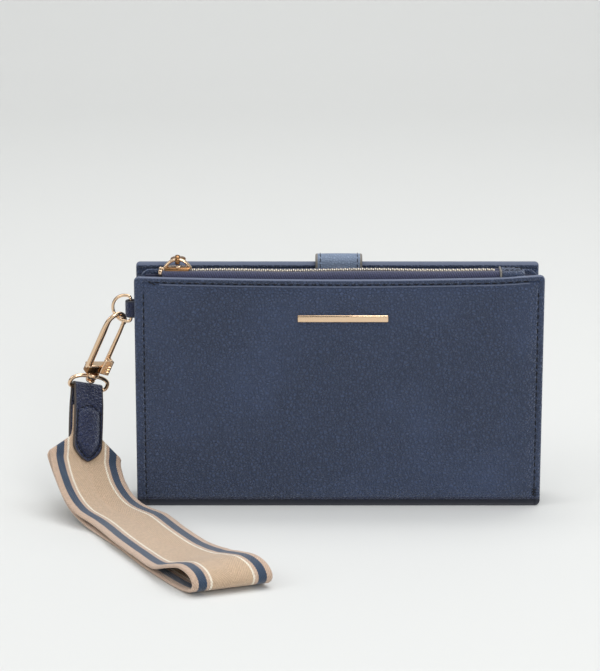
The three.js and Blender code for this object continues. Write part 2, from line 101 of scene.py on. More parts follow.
def set_camera():
    camera = bpy.data.cameras.new("camera")
    camera.lens = LENS
    camera.sensor_width = 36
    eye = add_object("camera", camera)
    eye.location = EYE
    eye.rotation_euler = (radians(PITCH), 0, 0)
    bpy.context.scene.camera = eye


def set_floor():
    turns = [i * pi / 2 / SWEEP_STEPS for i in range(1, SWEEP_STEPS + 1)]
    sweep = [(-2.5, 0), (SWEEP_START, 0)]
    sweep += [(SWEEP_START + SWEEP_RADIUS * sin(a), SWEEP_RADIUS - SWEEP_RADIUS * cos(a)) for a in turns]
    sweep.append((SWEEP_START + SWEEP_RADIUS, 3))
    verts = [(x, y, z) for y, z in sweep for x in (-4, 4)]
    faces = [(2 * i, 2 * i + 1, 2 * i + 3, 2 * i + 2) for i in range(len(sweep) - 1)]
    data = bpy.data.meshes.new("floor")
    data.from_pydata(verts, [], faces)
    data.shade_smooth()
    data.materials.append(Nodes("paper").set(Base_Color=PAPER, Roughness=0.9))
    floor = add_object("floor", data)


def set_light():
    world = bpy.data.worlds.new("studio")
    bpy.context.scene.world = world
    world.use_nodes = True
    sky = world.node_tree
    direction = sky.nodes.new("ShaderNodeTexCoord").outputs["Generated"]
    parts = sky.nodes.new("ShaderNodeSeparateXYZ")
    ramp = sky.nodes.new("ShaderNodeValToRGB")
    sky.links.new(direction, parts.inputs[0])
    sky.links.new(parts.outputs[2], ramp.inputs[0])
    fill_ramp(ramp, [(where, (grey * 0.97, grey * 0.985, grey, 1)) for where, grey in SKY])
    sky.links.new(ramp.outputs[0], sky.nodes["Background"].inputs[0])
    for name, (where, aim, size, power) in LIGHTS.items():
        light = bpy.data.lights.new(name, "AREA")
        light.shape = "RECTANGLE"
        light.size, light.size_y = size
        light.energy = power
        lamp = add_object(name, light)
        lamp.location = where
        lamp.rotation_euler = (Vector(aim) - Vector(where)).to_track_quat("-Z", "Y").to_euler()
    bpy.context.scene.view_settings.view_transform = "Standard"


# ---- materials ----
class Nodes:
    """A short way to write a material's node tree."""

    def __init__(self, name):
        self.material = bpy.data.materials.new(name)
        self.material.use_nodes = True
        self.tree = self.material.node_tree
        self.shader = self.tree.nodes["Principled BSDF"]

    def add(self, kind, inputs=None, **settings):
        node = self.tree.nodes.new(kind)
        for key, value in settings.items():
            setattr(node, key, value)
        for key, value in (inputs or {}).items():
            self.link(value, node.inputs[key])
        return node

    def link(self, value, socket):
        if isinstance(value, bpy.types.NodeSocket):
            self.tree.links.new(value, socket)
        else:
            socket.default_value = value

    def math(self, operation, a, b=0):
        return self.add("ShaderNodeMath", {0: a, 1: b}, operation=operation).outputs[0]

    def plus(self, a, b):
        return self.math("ADD", a, b)

    def times(self, a, b):
        return self.math("MULTIPLY", a, b)

    def wave(self, value):
        return self.math("SINE", value)

    def mix(self, factor, a, b, blend="MIX"):
        inputs = {0: factor, 6: a, 7: b}
        return self.add("ShaderNodeMix", inputs, data_type="RGBA", blend_type=blend).outputs[2]

    def spread(self, value, low, high, out_low=0, out_high=1):
        inputs = {0: value, 1: low, 2: high, 3: out_low, 4: out_high}
        return self.add("ShaderNodeMapRange", inputs).outputs[0]

    def noise(self, vector, scale, detail=2, roughness=0.5):
        inputs = {"Vector": vector, "Scale": scale, "Detail": detail, "Roughness": roughness}
        return self.add("ShaderNodeTexNoise", inputs).outputs["Fac"]

    def cells(self, vector, scale):
        inputs = {"Vector": vector, "Scale": scale}
        return self.add("ShaderNodeTexVoronoi", inputs, feature="DISTANCE_TO_EDGE").outputs["Distance"]

    def here(self):
        return self.add("ShaderNodeTexCoord").outputs["Object"]

    def uv(self):
        parts = self.add("ShaderNodeSeparateXYZ", {0: self.add("ShaderNodeTexCoord").outputs["UV"]})
        return parts.outputs[0], parts.outputs[1]

    def bump(self, height, distance, strength=1):
        node = self.add("ShaderNodeBump", {"Height": height, "Distance": distance, "Strength": strength})
        self.link(node.outputs[0], self.shader.inputs["Normal"])

    def set(self, **values):
        for key, value in values.items():
            self.link(value, self.shader.inputs[key.replace("_", " ")])
        return self.material


def linear(r, g, b):
    """An sRGB colour from 0 to 255 as linear light."""
    channel = lambda c: c / 12.92 if c <= 0.04045 else ((c + 0.055) / 1.055) ** 2.4
    return tuple(channel(c / 255) for c in (r, g, b)) + (1,)


def shade(colour, factor):
    return tuple(min(1, c * factor) for c in colour[:3]) + (1,)


def leather(name, colour, grain=0.0015, depth=0.0009, dark=0.45, gloss=0):
    """Pebbled leather: domed grains with finer creases between them; painted shade darkens the creases, so
    the tops read lighter.
    """
    n = Nodes(name)
    here = n.here()
    warp = n.add("ShaderNodeTexNoise", {"Vector": here, "Scale": 0.5 / grain, "Detail": 1}).outputs["Color"]
    shift = n.add("ShaderNodeVectorMath", {0: warp, 1: (grain * 0.45,) * 3}, operation="MULTIPLY").outputs[0]
    place = n.add("ShaderNodeVectorMath", {0: here, 1: shift}, operation="ADD").outputs[0]
    pebble = n.spread(n.cells(place, 1 / grain), 0, 0.32)
    fine = n.spread(n.cells(place, 2.6 / grain), 0, 0.3)
    hair = n.noise(here, 1 / (grain * 0.12))
    height = n.plus(n.times(pebble, 0.72), n.times(fine, 0.2))
    height = n.plus(height, n.times(hair, 0.1))
    cloud = n.noise(here, 22, 3)
    # painted shade: the tone darkens down in the creases between the pebbles
    tone = n.mix(n.spread(height, 0.15, 0.95), shade(colour, dark), colour)
    tone = n.mix(n.spread(cloud, 0.45, 0.75, 0, 0.35), tone, shade(colour, 1.4))
    n.bump(height, depth)
    rough = n.spread(height, 0, 1, 0.6 - gloss, 0.42 - gloss)
    return n.set(Base_Color=tone, Roughness=rough, Specular_IOR_Level=0.5,
                 Sheen_Weight=0.35, Sheen_Roughness=0.35, Sheen_Tint=(0.72, 0.8, 1, 1))


def smooth_edge(name, colour):
    """Edge paint: a thin waxy coat with slight waves; in its palest tone it serves as painted highlight."""
    n = Nodes(name)
    ripple = n.noise(n.here(), 900)
    n.bump(ripple, 0.00006)
    tone = n.mix(ripple, shade(colour, 0.8), colour)
    return n.set(Base_Color=tone, Roughness=n.spread(ripple, 0, 1, 0.4, 0.55))


def metal(name, colour, rough=0.16):
    """Plated metal with faint polishing marks and small differences in tone."""
    n = Nodes(name)
    here = n.here()
    cloud = n.noise(here, 180, 3)
    n.bump(n.noise(here, 2600, 2, 0.7), 0.000006, 0.6)
    return n.set(Base_Color=n.mix(cloud, shade(colour, 0.9), colour), Metallic=1,
                 Roughness=n.spread(cloud, 0.3, 0.7, rough * 0.8, rough * 1.4))


def thread(name, colour):
    n = Nodes(name)
    twist = n.noise(n.here(), 3800)
    n.bump(twist, 0.00005)
    return n.set(Base_Color=n.mix(twist, shade(colour, 0.6), colour), Roughness=0.75)


def yarns(n, across, along):
    """A plain weave of rounded yarns 0.4 and 0.6 mm apart, over and under by turns."""
    u = n.wave(n.times(across, pi / 0.0004))
    v = n.wave(n.times(along, pi / 0.0006))
    bulge = n.plus(n.math("ABSOLUTE", u), n.math("ABSOLUTE", v))
    return n.plus(n.times(bulge, 0.35), n.times(n.times(u, v), 0.3))


def twill(name, colour, pitch=0.0005):
    n = Nodes(name)
    here = n.add("ShaderNodeSeparateXYZ", {0: n.here()})
    diagonal = n.plus(here.outputs[0], here.outputs[2])
    rib = n.wave(n.times(diagonal, 2 * pi / pitch))
    height = n.plus(n.times(rib, 0.4), n.noise(n.here(), 2500))
    n.bump(height, 0.00008)
    # painted shade: the tone darkens in the hollows between the ribs
    tone = n.mix(n.spread(height, -0.2, 1.2), shade(colour, 0.6), colour)
    return n.set(Base_Color=tone, Roughness=0.85, Sheen_Weight=0.2)


def tape_cloth(name, colour, pitch=0.0011):
    """Zip tape: slanted ribs of thick yarn, read from the mesh's own coordinates in metres."""
    n = Nodes(name)
    across, along = n.uv()
    rib = n.wave(n.plus(n.times(along, 2 * pi / pitch), n.times(across, 3600)))
    height = n.plus(n.times(rib, 0.2), n.noise(n.here(), 1700))
    n.bump(height, 0.0002)
    # painted light and shade: the ribs' tops are lighter and the hollows between them darker
    tone = n.mix(n.spread(height, 0.1, 0.9), shade(colour, 0.3), shade(colour, 1.7))
    return n.set(Base_Color=tone, Roughness=0.8, Sheen_Weight=0.3)


def striped_webbing(name, half_width=0.0182, rib_across=0.0011, rib_along=0.0013):
    """Woven cotton: stripes by the distance from the middle, over a ribbed plain weave."""
    n = Nodes(name)
    across, along = n.uv()
    from_middle = n.math("ABSOLUTE", across)
    grain = n.noise(n.here(), 900, 3)
    ragged = n.times(n.wave(n.times(along, 2 * pi / rib_across)), 0.00012)
    beige, navy = linear(202, 174, 145), linear(47, 66, 90)
    ivory, rim = linear(240, 230, 212), linear(202, 174, 152)
    ramp = n.add("ShaderNodeValToRGB")
    ramp.color_ramp.interpolation = "CONSTANT"
    fill_ramp(ramp, [(0, beige), (0.50, ivory), (0.55, rim), (0.635, navy), (0.84, rim)])
    n.link(n.math("DIVIDE", n.plus(from_middle, ragged), half_width), ramp.inputs[0])
    slope = n.plus(n.times(from_middle, 2 * pi / rib_across), n.times(along, 2 * pi / rib_along))
    rib = n.spread(n.wave(slope), -1, 1)
    height = n.plus(n.times(rib, 0.7), n.times(yarns(n, across, along), 0.4))
    shadow = n.times(n.spread(grain, 0.3, 0.75, 0.88, 1.1), n.spread(height, 0, 1, 0.8, 1.08))
    grey = n.add("ShaderNodeCombineColor", {0: shadow, 1: shadow, 2: shadow}).outputs[0]
    n.bump(n.plus(height, n.times(grain, 0.5)), 0.00022)
    return n.set(Base_Color=n.mix(1, ramp.outputs[0], grey, "MULTIPLY"), Roughness=0.9,
                 Sheen_Weight=0.35, Sheen_Roughness=0.5)


look = {  # materials by their short names
    "leather": leather("navy_leather", linear(61, 77, 110)),
    "pocket": leather("pocket_leather", linear(46, 54, 78), grain=0.0007, depth=0.00007),
    # painted light: the tab is the same navy leather, coloured far paler for the light and sheen its arched
    # top catches
    "tab": leather("tab_leather_painted_light", linear(128, 145, 171), grain=0.0011, depth=0.00025, dark=0.7),
    # also laid on the front panel's bottom band as painted shade
    "strap_leather_and_shade": leather("strap_leather_and_shade", linear(34, 45, 82), grain=0.0016, gloss=0.14),
    "gold": metal("rose_gold", linear(236, 205, 172)),
    "pale_gold": metal("pale_rose_gold", linear(240, 230, 212), 0.3),
    "dark_gold": metal("rose_gold_shaded", linear(150, 112, 76), 0.24),
    "lining": twill("lining_twill", linear(50, 54, 84)),
    "tape": tape_cloth("zip_tape_cloth", linear(46, 50, 78)),
    "thread": thread("navy_thread", linear(13, 15, 24)),
    "webbing": striped_webbing("striped_webbing"),
}
# the palest of these, (92, 102, 126), is no paint on the real wallet but painted highlight, laid where rims
# catch the light
EDGES = {"edge": (34, 38, 50), "brown_edge": (62, 54, 50), "pale_edge": (128, 124, 118),
         "lit_edge": (92, 102, 126)}
for kind, rgb in EDGES.items():
    look[kind] = smooth_edge(kind + "_paint", linear(*rgb))


# ---- mesh helpers, in millimetres ----
def make(name, verts, faces, material, body, uvs=None):
    data = bpy.data.meshes.new(name)
    data.from_pydata([Vector(v) * MM for v in verts], [], faces)
    if uvs:
        layer = data.uv_layers.new(name="cloth")
        for loop in data.loops:
            layer.data[loop.index].uv = Vector(uvs[loop.vertex_index]) * MM
    data.shade_smooth()
    bm = bmesh.new()
    bm.from_mesh(data)
    bmesh.ops.recalc_face_normals(bm, faces=bm.faces)
    bm.to_mesh(data)
    bm.free()
    obj = add_object(name, data)
    data.materials.append(look[material])
    if body:
        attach(obj, body)
    return obj


def box_mm(node):
    low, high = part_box(node)
    return Vector(low) / MM, Vector(high) / MM


def lengths_along(points):
    """How far each point lies from the first, along the line."""
    lengths = [0]
    for p, q in zip(points, points[1:]):
        lengths.append(lengths[-1] + (q - p).length)
    return lengths


def curve(points, count, closed=False):
    """Points spread evenly along a smooth curve through the given ones."""
    pts = [Vector(p) for p in points]
    last = len(pts)
    fine = []
    for i in range(last if closed else last - 1):
        if closed:
            a, b, c, d = (pts[(i + k) % last] for k in (-1, 0, 1, 2))
        else:
            b, c = pts[i], pts[i + 1]
            a = pts[i - 1] if i else b * 2 - c
            d = pts[i + 2] if i + 2 < last else c * 2 - b
        for k in range(16):
            t = k / 16
            fine.append(0.5 * (2 * b + (c - a) * t + (2 * a - 5 * b + 4 * c - d) * t * t
                               + (3 * b - a - 3 * c + d) * t ** 3))
    fine.append(pts[0] if closed else pts[-1])
    lengths = lengths_along(fine)
    out, j = [], 0
    steps = count if closed else count - 1
    for i in range(count):
        want = lengths[-1] * i / steps
        while j < len(fine) - 2 and lengths[j + 1] < want:
            j += 1
        span = lengths[j + 1] - lengths[j] or 1
        out.append(fine[j].lerp(fine[j + 1], (want - lengths[j]) / span))
    return out


def frames(points, closed=False, start=None):
    """Tangents and untwisted normals along a line of points."""
    n = len(points)
    tangents = []
    for i in range(n):
        before, after = (i - 1, (i + 1) % n) if closed else (max(i - 1, 0), min(i + 1, n - 1))
        tangents.append((points[after] - points[before]).normalized())
    normal = Vector(start) if start else tangents[0].orthogonal()
    normal = (normal - tangents[0] * normal.dot(tangents[0])).normalized()
    normals = [normal]
    for i in range(1, n):
        normal = (normal - tangents[i] * normal.dot(tangents[i])).normalized()
        normals.append(normal)
    return tangents, normals


def ring_faces(count, size, closed=False):
    """Faces between rings of points in a row, with caps on open ends."""
    faces = []
    for i in range(count if closed else count - 1):
        here, there = i * size, (i + 1) % count * size
        for k in range(size):
            m = (k + 1) % size
            faces.append((here + k, here + m, there + m, there + k))
    if not closed:
        faces += [tuple(range(size)), tuple((count - 1) * size + k for k in range(size))]
    return faces


def tube_mesh(points, radius, sides=16, closed=False, start=None, flatten=1, taper=None):
    """Vertices and faces of a round or oval bar along points; its open ends are domed."""
    last = len(points) - 1
    rings = [(p, t, n, radius * (taper(i / last) if taper else 1))
             for i, (p, t, n) in enumerate(zip(points, *frames(points, closed, start)))]
    if not closed:
        def dome(p, t, n, r, sign):
            return [(p + t * sign * r * 0.8 * sin(a), t, n, r * cos(a)) for a in (0.5, 0.95, 1.3)]
        rings = list(reversed(dome(*rings[0], -1))) + rings + dome(*rings[-1], 1)
    verts = []
    for p, t, n, r in rings:
        b = t.cross(n)
        for k in range(sides):
            a = 2 * pi * k / sides
            verts.append(p + n * r * cos(a) + b * r * flatten * sin(a))
    return verts, ring_faces(len(rings), sides, closed)


def merge(parts):
    """Several (vertices, faces) as one."""
    verts, faces = [], []
    for more, polygons in parts:
        base = len(verts)
        verts += more
        faces += [tuple(base + i for i in polygon) for polygon in polygons]
    return verts, faces


def shape_of(bm):
    """A bmesh's vertices and faces; the bmesh is freed."""
    bm.verts.index_update()
    shape = [v.co.copy() for v in bm.verts], [tuple(v.index for v in f.verts) for f in bm.faces]
    bm.free()
    return shape


def rounded_block(size, bevel, segments=3):
    """A block with rounded edges about the origin."""
    bm = bmesh.new()
    bmesh.ops.create_cube(bm, size=1)
    bmesh.ops.scale(bm, vec=size, verts=bm.verts)
    bmesh.ops.bevel(bm, geom=bm.edges[:], offset=bevel, segments=segments, profile=0.5, affect="EDGES")
    return shape_of(bm)


def subdivided(shape):
    bm = bmesh.new()
    corners = [bm.verts.new(v) for v in shape[0]]
    for polygon in shape[1]:
        bm.faces.new([corners[i] for i in polygon])
    bmesh.ops.subdivide_edges(bm, edges=bm.edges[:], cuts=1, use_grid_fill=True)
    return shape_of(bm)


def placed(shape, matrix):
    return [matrix @ Vector(v) for v in shape[0]], shape[1]


def block_at(where, size, bevel, segments=3):
    return placed(rounded_block(size, bevel, segments), Matrix.Translation(where))


def lathe(profile, matrix, sides=32):
    """A turned shape from (radius, height) pairs; a radius of 0 closes it on the axis."""
    verts, faces, rings = [], [], []
    for r, h in profile:
        spokes = sides if r > 0 else 1
        rings.append([len(verts) + k for k in range(spokes)])
        verts += [(r * cos(2 * pi * k / sides), r * sin(2 * pi * k / sides), h) for k in range(spokes)]
    for a, b in zip(rings, rings[1:]):
        for k in range(sides):
            m = (k + 1) % sides
            if len(a) == 1:
                faces.append((a[0], b[k], b[m]))
            elif len(b) == 1:
                faces.append((a[k], a[m], b[0]))
            else:
                faces.append((a[k], a[m], b[m], b[k]))
    return placed((verts, faces), matrix)


def board(name, low, high, radius, body, material="leather", rim=0.9, step=2.2,
          front=None, back=None, warp=None):
    """An upright leather-covered board with rounded corners and edges between two corner points.

    front(x, z, d) and back(x, z, d) push a face outwards; d is the distance from the board's edge.
    warp moves every finished point."""
    rings = [0, 0.12, 0.3, 0.6, 1, 1.5, 2, 2.35, 2.7, 3.05, 3.4, 3.8, 4.1, 4.4, 4.7, 5.1, 6, 7.2, 9]
    rings = [r * rim / 0.9 if r <= 1 else r for r in rings]

    def lines(a, b):
        inner = max(2, round((b - a - 2 * rings[-1]) / step))
        middle = [a + rings[-1] + (b - a - 2 * rings[-1]) * i / inner for i in range(1, inner)]
        return [a + r for r in rings] + middle + [b - r for r in reversed(rings)]

    xs, zs = lines(low.x, high.x), lines(low.z, high.z)
    mid, half = (low.y + high.y) / 2, (high.y - low.y) / 2

    def corner(x, z):
        cx = min(max(x, low.x + radius), high.x - radius)
        cz = min(max(z, low.z + radius), high.z - radius)
        u, v = x - cx, z - cz
        if min(abs(u), abs(v)) < 1e-9:
            return x, z
        scale = max(abs(u), abs(v)) / hypot(u, v)
        return cx + u * scale, cz + v * scale

    verts, faces, grid = [], [], {}
    for side in (-1, 1):
        for i, x in enumerate(xs):
            for j, z in enumerate(zs):
                d = min(x - low.x, high.x - x, z - low.z, high.z - z)
                if d < 1e-9 and side == 1:
                    grid[1, i, j] = grid[-1, i, j]
                    continue
                px, pz = corner(x, z)
                roll = sqrt(max(0, 1 - (1 - min(d, rim) / rim) ** 2))
                y = mid + side * half * roll
                push = front if side == -1 else back
                if push:
                    y += side * push(px, pz, d) * roll
                point = (px, y, pz)
                grid[side, i, j] = len(verts)
                verts.append(warp(*point) if warp else point)
        for i in range(len(xs) - 1):
            for j in range(len(zs) - 1):
                corners = (i, j), (i + 1, j), (i + 1, j + 1), (i, j + 1)
                faces.append(tuple(grid[side, a, b] for a, b in corners))
    return make(name, verts, faces, material, body)


def stitches(name, points, pitch, length, body, normal, radius=0.34, sink=0.1):
    """A row of thread stitches along points, each an arc that dips into the leather at its ends."""
    count = max(1, int(lengths_along(points)[-1] / pitch))
    line = curve(points, count * 8 + 1)
    parts = []
    for i in range(count):
        middle = line[i * 8 + 4]
        along = (line[i * 8 + 6] - line[i * 8 + 2]).normalized()
        up = Vector(normal(middle) if callable(normal) else normal).normalized()
        size = length * rng.uniform(0.92, 1.06)
        arc = [middle + along * size * (k / 4 - 0.5) + up * (radius * 0.9 * sin(pi * k / 4) - sink)
               for k in range(5)]
        parts.append(tube_mesh(arc, radius, sides=6, start=up, taper=lambda s: 0.75 + 0.25 * sin(pi * s)))
    return make(name, *merge(parts), "thread", body)


def strip(name, stations, thickness, material, body, columns, lift=None, edge_material=None, edge_width=0):
    """A flat band through stations (middle, across, normal, half width), with rounded edges.

    lift(s, offset) raises the face that the normal points from; s counts millimetres along."""
    verts, uvs = [], []
    half_t = thickness / 2
    bend = [pi / 2 - pi * k / 4 for k in range(1, 4)]
    runs = lengths_along([station[0] for station in stations])
    for run, (p, across, normal, half) in zip(runs, stations):
        flat = max(half - half_t, 0.05)
        ring = [(-flat + 2 * flat * k / columns, 1) for k in range(columns + 1)]
        if edge_width:
            ring[1], ring[columns - 1] = (-half + edge_width, 1), (half - edge_width, 1)
        ring += [(flat + half_t * cos(a), sin(a)) for a in bend]
        ring += [(flat - 2 * flat * k / columns, -1) for k in range(columns + 1)]
        ring += [(-flat - half_t * cos(a), -sin(a)) for a in bend]
        for offset, side in ring:
            height = side * half_t
            if lift and side > 0.5:
                height += lift(run, offset)
            verts.append(p + across * offset + normal * height)
            uvs.append((offset, run))
    size = len(ring)
    faces = ring_faces(len(stations), size)
    obj = make(name, verts, faces, material, body, uvs)
    if edge_material:
        obj.data.materials.append(look[edge_material])
        for i, polygon in enumerate(obj.data.polygons):
            k = i % size
            painted = edge_width and k in (0, columns - 1)
            if i >= len(faces) - 2 or painted or columns <= k < columns + 4 or k > size - 5:
                polygon.material_index = 1
    return obj


def upright_band(path, count, low, high, start):
    """Stations of a band that stands on edge, from its plan and its lower and upper height."""
    points = curve([(x, y, 0) for x, y in path], count)
    normals = frames(points, start=start)[1]
    return [(Vector((p.x, p.y, (low + high) / 2)), Z, n, (high - low) / 2) for p, n in zip(points, normals)]


def frame_matrix(origin, x, y, z):
    rows = Matrix((x, y, z)).transposed().to_4x4()
    rows.translation = origin
    return rows


def smoothstep(a, b, x):
    t = min(max((x - a) / (b - a), 0), 1)
    return t * t * (3 - 2 * t)


set_camera()
set_floor()
set_light()


# ---- front section ----
FRONT_LOW, FRONT_HIGH = box_mm("front_panel")
HALF = FRONT_HIGH.x
TOP = FRONT_HIGH.z
BOTTOM_ROLL = 5.6  # height where the leather turns under
# painted shade: below the first height the turned-under bottom is coloured near-black, and below the second
# dark navy, for the shade it sits in
DEEP_SHADE_TOP, SHADE_TOP = 2.9, 4.4  # heights of the turned edge's two shades
# painted highlight: upward faces within this depth of the mouth's rim take a pale coat for the light they
# catch
LIT_RIM = 0.9  # depth of the pale rim along the mouth
MOUTH_BOW = 1.7  # how far the mouth bows forward
SEAM_TOP, SEAM_LEFT, SEAM_RIGHT = 2.7, 4.3, 2.9  # stitch lines, in from the edges


def front_push(x, z, d):
    """The front's padding, by how far inside the stitched outline (s) a point lies."""
    s = min(x - (-HALF + SEAM_LEFT), HALF - SEAM_RIGHT - x, TOP - SEAM_TOP - z)
    groove = -0.5 * exp(-(s / 0.5) ** 2) if z > 1 else 0
    puff = 1 * smoothstep(0, 5, s) * smoothstep(0, 9, z)
    border = 0.3 * smoothstep(-0.2, -1, s)
    roll = -1.7 * smoothstep(BOTTOM_ROLL, 1.6, z)
    slow = 0.14 * sin(x * 0.045 + 1) * sin(z * 0.06) * smoothstep(2, 15, s)
    return groove + puff + border + roll + slow


def front_warp(x, y, z):
    """The open mouth bows forward and sags a little between its corners."""
    bow = cos(pi * x / (2 * HALF)) if abs(x) < HALF else 0
    rise = max(0, z / TOP)
    y -= MOUTH_BOW * bow * rise ** 2.2
    z -= 1.15 * bow ** 0.8 * rise ** 3 if bow > 0 else 0
    z -= 0.75 * rise ** 4 * smoothstep(HALF, HALF - 25, x)
    return x, y, z


def on_front(x, z, proud=0):
    y = FRONT_LOW.y - front_push(x, z, 9) - proud
    return Vector(front_warp(x, y, z))


def front_section():
    panel = board("front_leather", FRONT_LOW, FRONT_HIGH, 2.6, FRONT, rim=1, step=2.4,
                  front=front_push, warp=front_warp)
    # painted shade and highlight: the lowest faces take the near-black edge paint and the next ones the
    # darker strap leather, for the shade under the bottom roll; upward faces along the mouth take the pale
    # coat for the light they catch
    for shade_and_highlight in ("edge", "strap_leather_and_shade", "lit_edge"):
        panel.data.materials.append(look[shade_and_highlight])
    for polygon in panel.data.polygons:
        place = polygon.center / MM
        if place.z < DEEP_SHADE_TOP:
            polygon.material_index = 1
        elif place.z < SHADE_TOP:
            polygon.material_index = 2
        elif polygon.normal.z > 0.4 and place.z > on_front(place.x, TOP - LIT_RIM).z:
            polygon.material_index = 3
    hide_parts("front_panel")
    top, left, right = TOP - SEAM_TOP, -HALF + SEAM_LEFT, HALF - SEAM_RIGHT
    line = [on_front(x, top) for x in range(int(left) + 4, int(right) - 1, 3)]
    stitches("front_stitches_top", line, 3.6, 2.3, FRONT, -Y)
    # painted highlight: a thin pale ridge under the top stitches stands in for the light caught by the lip
    # below the groove
    ridge = [on_front(x, top - 0.95, -0.12) for x in range(int(left) + 7, int(right) - 3, 3)]
    make("front_seam_highlight_ridge", *tube_mesh(ridge, 0.32, sides=8), "lit_edge", FRONT)
    for name, x in (("left", left), ("right", right)):
        line = [on_front(x, z) for z in range(5, int(top) - 2, 3)]
        stitches(f"front_stitches_{name}", line, 3.3, 2.1, FRONT, -Y)
    tacks = [[on_front(left + 2.2 + k, top + 0.6 - 0.5 * k), on_front(left + 4.2 + k, top - 0.4 - 0.4 * k)]
             for k in (0, 1.6)]
    tacks += [[on_front(right + 0.9, z), on_front(right - 0.9, z + 0.4)] for z in (5.4, 6.8, 8.2)]
    for i, tack in enumerate(tacks):
        stitches(f"bar_tack_{i + 1}", tack, 1.9, 1.8, FRONT, -Y, radius=0.3, sink=0)

    low, high = box_mm("badge_bar")
    centre = (low + high) / 2
    face = on_front(0, centre.z).y
    verts, faces = rounded_block((high.x - low.x, 0.9, 3.4), 0.42)
    verts = [Vector((v.x + 1.7, v.y + face - 0.35, v.z + centre.z + 0.4)) for v in verts]
    bar = make("badge_bar_metal", verts, faces, "gold", FRONT)
    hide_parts("badge_bar")

    low, high = box_mm("inner_wall")
    wall = board("inner_wall_leather", low + 1.2 * X, high - 1.2 * X, 5, FRONT, step=5, rim=0.8)
    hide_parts("inner_wall")


def gussets():
    for name, side in (("left", -1), ("right", 1)):
        low, high = box_mm(f"gusset_{name}")
        outer, inner = (low.x, high.x) if side < 0 else (high.x, low.x)
        mid = (low.y + high.y) / 2
        path = [(outer - side * 0.5, low.y + 0.3), (outer - side, low.y + 1.2),
                (inner + side * 0.9, mid - 0.6), (inner + side * 0.9, mid + 0.6),
                (outer - side, high.y - 1.2), (outer - side * 0.5, high.y - 0.3)]
        rows = upright_band(path, 25, low.z, high.z, X)
        piece = strip(f"gusset_leather_{name}", rows, 0.9, "pocket", FRONT, columns=20)
        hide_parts(f"gusset_{name}")


def spine():
    """Bottom leather, which runs on under the card section."""
    low, high = box_mm("spine_panel")
    rear = box_mm("rear_panel")[0]
    ys = [low.y + (rear.y + 0.1 - low.y) * i / 30 for i in range(31)]
    rows = [(Vector((0, y, (low.z + high.z) / 2 + 0.05)), X, Z, high.x) for y in ys]
    piece = strip("spine_leather", rows, high.z - low.z - 0.1, "leather", None, columns=40)
    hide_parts("spine_panel")
    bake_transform(piece)


# ---- zip ----
CHAIN_Y = (box_mm("zip_teeth_front")[0].y + box_mm("zip_teeth_rear")[1].y) / 2
CHAIN_LIFT = 0.3  # how far the tapes raise the chain over its CAD rows
TOOTH_PITCH = 2
SLIDER_DECK = 113.95  # height of the slider's plate


def chain_wave(x):
    """The chain's small wander, up and sideways."""
    ease = smoothstep(-66, -50, x) * smoothstep(74, 66, x)
    return 0.22 * sin(x * 0.09 + 0.6) * ease, 0.25 * sin(x * 0.05) * ease


def zip_tapes():
    spans, half_t = 100, 0.25
    left, right = box_mm("zip_tape_front")[0].x + 1.9, box_mm("zip_end_cover")[1].x - 2.2
    for name, side in (("front", -1), ("rear", 1)):
        low, high = box_mm(f"zip_tape_{name}")
        wall = low.y if side < 0 else high.y
        outer = (0, -4.5), (0.05, -0.6), (0.4, 1), (1.3, 1.75), (2.4, 1.85)
        arch = [(wall - side * y, z) for y, z in outer]
        arch += [(CHAIN_Y + side * 1.5, 1.4), (CHAIN_Y + side * 0.25, 0.8)]
        line = curve([(0, y, high.z + z) for y, z in arch], 19)
        pairs = list(zip(line, frames(line, start=(0, side, 0))[1]))
        ring = [p + n * half_t for p, n in pairs] + [p - n * half_t for p, n in reversed(pairs)]
        verts, uvs = [], []
        for i in range(spans + 1):
            x = left + (right - left) * i / spans
            up, over = chain_wave(x)
            for k, p in enumerate(ring):
                share = min(k, len(ring) - 1 - k) / (len(ring) / 2)
                bow = MOUTH_BOW * cos(pi * x / (2 * HALF)) * (1 - share) if side < 0 else 0
                verts.append((x, p.y + over * share - bow, p.z + up * share - bow * 0.5))
                uvs.append((share * 9, x))
        shape = verts, ring_faces(spans + 1, len(ring))
        piece = make(f"zip_tape_cloth_{name}", *shape, "tape", FRONT, uvs)
        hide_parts(f"zip_tape_{name}")


def zip_teeth():
    for name, side, shift, rise in (("front", -1, 0, 0.3), ("rear", 1, TOOTH_PITCH / 2, -0.25)):
        low, high = box_mm(f"zip_teeth_{name}")
        tooth = merge([block_at((0, side * 0.95, 0), (0.8, 1.5, 1.4), 0.25, 2),
                       block_at((0, side * 0.1, 0.1), (0.7, 1.4, 1.1), 0.22, 2)])
        parts = []
        x = low.x + 0.8 + shift
        while x < high.x - 1.4:
            up, over = chain_wave(x)
            where = Vector((x, CHAIN_Y + over, (low.z + high.z) / 2 + CHAIN_LIFT + rise + up))
            parts.append(placed(tooth, Matrix.Translation(where)))
            x += TOOTH_PITCH
        row = make(f"zip_tooth_row_{name}", *merge(parts), "pale_gold", FRONT)
        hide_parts(f"zip_teeth_{name}")


